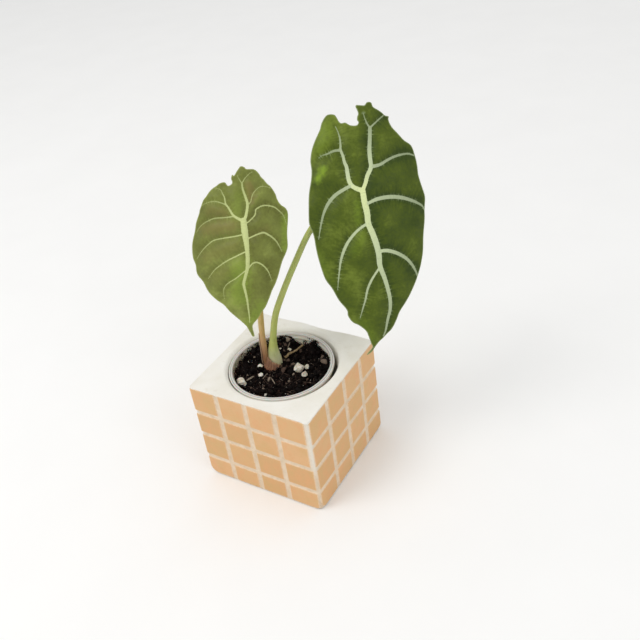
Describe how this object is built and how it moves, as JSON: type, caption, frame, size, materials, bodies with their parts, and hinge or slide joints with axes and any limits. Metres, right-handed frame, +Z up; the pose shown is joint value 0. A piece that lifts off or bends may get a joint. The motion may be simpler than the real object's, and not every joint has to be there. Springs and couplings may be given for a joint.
{
  "type": "potted alocasia watsoniana",
  "caption": "Young alocasia with arrow-shaped, pale-veined leaves on long stalks, in a thin nursery pot standing inside a small square tiled planter.",
  "frame": {"origin": "centre of the planter's underside", "axes": "+Z up, the planter's front face looks along -Y, +X to the right as seen from the front"},
  "size_m": [0.1059, 0.1016, 0.1959],
  "materials": {
    "cement": "smooth off-white cast cement",
    "tile": "matte terracotta tile",
    "grout": "sanded pale grout",
    "cup": "thin milky plastic",
    "soil": "coarse damp potting mix",
    "stem": "smooth pale living stem",
    "stalk_large": "smooth green leaf stalk",
    "stalk_small": "smooth tan leaf stalk",
    "blade_large": "satin green leaf with pale veins",
    "blade_small": "satin olive leaf with pale veins",
    "sheath": "dry papery sheath",
    "perlite": "chalky porous grain",
    "fibre": "dry root fibre"
  },
  "bodies": {
    "root": {"planter_shell": "cement", "tile_row_front_1": "tile", "tile_row_front_2": "tile", "tile_row_front_3": "tile", "tile_row_front_4": "tile", "tile_row_right_1": "tile", "tile_row_right_2": "tile", "tile_row_right_3": "tile", "tile_row_right_4": "tile", "tile_row_back_1": "tile", "tile_row_back_2": "tile", "tile_row_back_3": "tile", "tile_row_back_4": "tile", "tile_row_left_1": "tile", "tile_row_left_2": "tile", "tile_row_left_3": "tile", "tile_row_left_4": "tile", "grout_front": "grout", "grout_right": "grout", "grout_back": "grout", "grout_left": "grout", "nursery_pot": "cup", "soil": "soil", "stem_base": "stem", "petiole_large": "stalk_large", "petiole_small": "stalk_small", "leaf_large": "blade_large", "leaf_small": "blade_small", "sheath": "sheath", "perlite_1": "perlite", "perlite_2": "perlite", "perlite_3": "perlite", "perlite_4": "perlite", "perlite_5": "perlite", "perlite_6": "perlite", "perlite_7": "perlite", "perlite_8": "perlite", "perlite_9": "perlite", "perlite_10": "perlite", "root_fibre": "fibre"}
  },
  "joints": []
}
